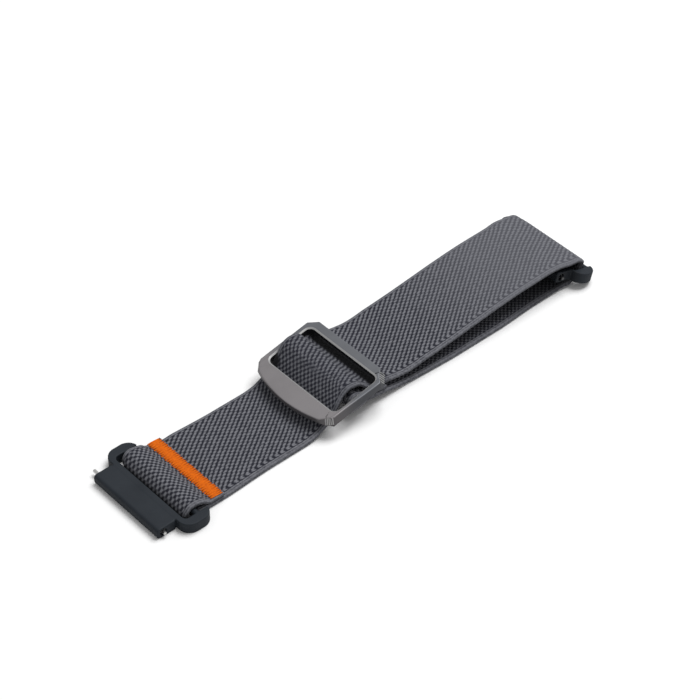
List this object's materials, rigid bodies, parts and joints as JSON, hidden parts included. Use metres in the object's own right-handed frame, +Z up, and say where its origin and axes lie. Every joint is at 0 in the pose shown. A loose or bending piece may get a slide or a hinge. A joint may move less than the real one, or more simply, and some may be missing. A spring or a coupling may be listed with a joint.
{
  "type": "elastic watch strap",
  "caption": "Elastic woven watch strap with a sliding metal buckle, a folded loop and quick-release spring bar connectors for lug mounting.",
  "frame": {"origin": "on the table plane, straight under the axis of the near spring bar and at mid width", "axes": "+X along the strap from the near connector to the far end, +Y to the side of the release pins, +Z up"},
  "size_m": [0.1273, 0.0292, 0.0089],
  "materials": {
    "connector": "matte blue-black",
    "pin_steel": "turned, bright",
    "webbing": "ribbed elastic nylon weave, dark grey",
    "orange_thread": "dense zigzag thread, orange",
    "grey_thread": "dense thread, dark grey",
    "slider": "satin titanium grey coating with bright edges"
  },
  "bodies": {
    "near_strap": {"near_flap": "webbing", "near_run": "webbing", "orange_bar_tack": "orange_thread"},
    "near_connector": {"near_connector_body": "connector", "near_spring_bar_tube": "pin_steel", "near_spring_bar_coil": "pin_steel", "near_plain_pin": "pin_steel"},
    "near_release": {"near_release_pin": "pin_steel", "near_release_lever": "pin_steel"},
    "slider": {"slider_frame": "slider", "slider_hump": "webbing", "slider_sewn_end": "webbing", "slider_end_stitching": "grey_thread"},
    "far_loop": {"upper_run": "webbing", "far_fold": "webbing", "lower_run": "webbing"},
    "far_connector": {"far_connector_body": "connector", "far_spring_bar_tube": "pin_steel", "far_spring_bar_coil": "pin_steel", "far_plain_pin": "pin_steel"},
    "far_release": {"far_release_pin": "pin_steel", "far_release_lever": "pin_steel"}
  },
  "joints": [
    {"name": "near_connector_swing", "type": "hinge", "parent": "near_strap", "child": "near_connector", "pos_m": [0.008, 0, 0.00195], "axis": [0, 1, 0], "range_deg": [-105, 105]},
    {"name": "near_pin_release", "type": "slide", "parent": "near_connector", "child": "near_release", "axis": [0, -1, 0], "range_m": [0, 0.0019], "stiffness_N_per_m": 400, "springref_m": -0.0025, "deforming": ["near_spring_bar_coil"]},
    {"name": "slider_slide", "type": "slide", "parent": "near_strap", "child": "slider", "axis": [1, 0, 0], "range_m": [-0.024, 0.06], "deforming": ["near_run"]},
    {"name": "far_loop_travel", "type": "slide", "parent": "slider", "child": "far_loop", "axis": [1, 0, 0], "range_m": [-0.03, 0.012], "deforming": ["upper_run", "lower_run"]},
    {"name": "far_connector_tilt", "type": "hinge", "parent": "far_loop", "child": "far_connector", "pos_m": [0.12414, 0, 0.00275], "axis": [0, 1, 0], "range_deg": [-3, 0]},
    {"name": "far_pin_release", "type": "slide", "parent": "far_connector", "child": "far_release", "axis": [0, -1, 0], "range_m": [0, 0.0019], "stiffness_N_per_m": 400, "springref_m": -0.0025, "deforming": ["far_spring_bar_coil"]}
  ],
  "couplings": [
    {"joint": "far_loop_travel", "follows": "slider_slide", "ratio": -0.5}
  ]
}
